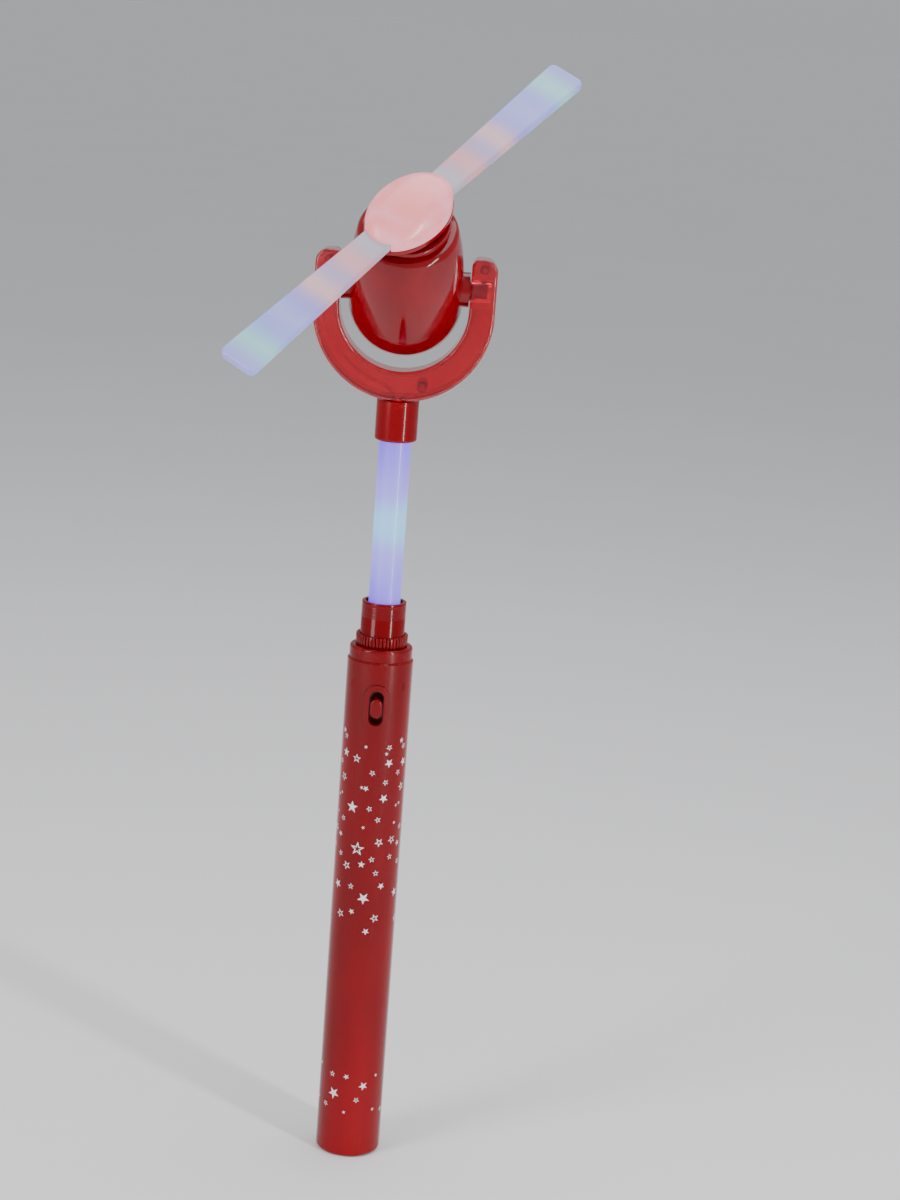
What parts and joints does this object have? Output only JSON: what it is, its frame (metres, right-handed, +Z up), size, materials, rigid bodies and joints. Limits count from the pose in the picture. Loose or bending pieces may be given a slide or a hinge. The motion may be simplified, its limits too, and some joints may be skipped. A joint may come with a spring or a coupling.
{
  "type": "light-up spinner wand",
  "caption": "Hand-held light-up spinner wand: battery handle, glowing tube, and a tilting motor head that turns lit blades.",
  "frame": {"origin": "centre of the handle's flat base", "axes": "+Z up along the handle, -Y out of the slide switch's face, +X to the right as seen from the switch"},
  "size_m": [0.1182, 0.1151, 0.4228],
  "materials": {
    "red_shell": "glossy moulded",
    "red_clear": "glossy translucent",
    "dark_red": "satin",
    "frosted_clear": "frosted translucent",
    "black_plastic": "satin",
    "screw_steel": "satin zinc plate",
    "steel_can": "satin",
    "plated_contact": "bright plate",
    "brass_parts": "bright",
    "magnet_black": "matt",
    "cell_jacket": "printed sleeve",
    "circuit_board": "solder mask",
    "white_board": "solder mask",
    "lead_red": "insulation",
    "white_light": "lamp lens",
    "pink_light": "lamp lens",
    "red_light": "lamp lens",
    "orange_light": "lamp lens",
    "blue_light": "lamp lens",
    "green_light": "lamp lens"
  },
  "bodies": {
    "handle": {"handle_front_shell": "red_shell", "handle_back_shell": "red_shell", "handle_collar": "red_shell", "handle_screws": "screw_steel", "yoke_screws": "screw_steel", "battery_cell_1": "cell_jacket", "battery_cell_2": "cell_jacket", "battery_cell_3": "cell_jacket", "spring_plate": "plated_contact", "contact_plate": "plated_contact", "battery_spring": "plated_contact", "switch_bezel": "red_shell", "switch_body": "steel_can", "control_board": "circuit_board", "control_chip": "black_plastic", "board_resistors": "black_plastic", "neck_sleeve": "red_shell", "light_tube": "frosted_clear", "tube_led_board": "circuit_board", "tube_leds": "white_light", "ferrule": "red_shell", "yoke_front_shell": "red_clear", "yoke_back_shell": "red_clear", "battery_lead": "lead_red", "head_leads": "lead_red"},
    "battery_door": {"battery_door": "red_shell", "battery_door_screw": "screw_steel"},
    "switch_knob": {"switch_knob": "red_shell", "switch_lever": "black_plastic"},
    "lock_ring": {"lock_ring": "red_shell"},
    "head": {"motor_housing": "red_clear", "motor_bracket": "dark_red", "bracket_screws": "screw_steel", "motor_can": "steel_can", "motor_front_bush": "brass_parts", "motor_end_cap": "black_plastic", "motor_terminals": "brass_parts", "motor_magnets": "magnet_black", "contact_fingers": "brass_parts", "motor_leads": "lead_red"},
    "rotor": {"motor_shaft": "steel_can", "motor_armature": "steel_can", "motor_commutator": "brass_parts", "slip_ring_board": "circuit_board", "slip_rings": "brass_parts", "hub_base": "red_clear", "hub_dome": "frosted_clear", "hub_screws": "screw_steel", "hub_board": "circuit_board", "hub_led": "pink_light", "blade_1": "frosted_clear", "blade_2": "frosted_clear", "blade_board_1": "white_board", "blade_board_2": "white_board", "red_leds": "red_light", "orange_leds": "orange_light", "blue_leds": "blue_light", "green_leds": "green_light"}
  },
  "joints": [
    {"name": "head_tilt", "type": "hinge", "parent": "handle", "child": "head", "pos_m": [0, 0, 0.3403], "axis": [1, 0, 0], "range_deg": [-133, 46]},
    {"name": "rotor_spin", "type": "hinge", "parent": "head", "child": "rotor", "pos_m": [0, 0, 0.3403], "axis": [0, -0.6845, 0.729], "continuous": true},
    {"name": "switch_slide", "type": "slide", "parent": "handle", "child": "switch_knob", "axis": [0, 0, 1], "range_m": [-0.0025, 0.0025]},
    {"name": "lock_ring_turn", "type": "hinge", "parent": "handle", "child": "lock_ring", "pos_m": [0, 0, 0.2066], "axis": [0, 0, 1], "range_deg": [0, 90]},
    {"name": "battery_door_slide", "type": "slide", "parent": "handle", "child": "battery_door", "axis": [0, 1, 0], "range_m": [0, 0.03]}
  ]
}
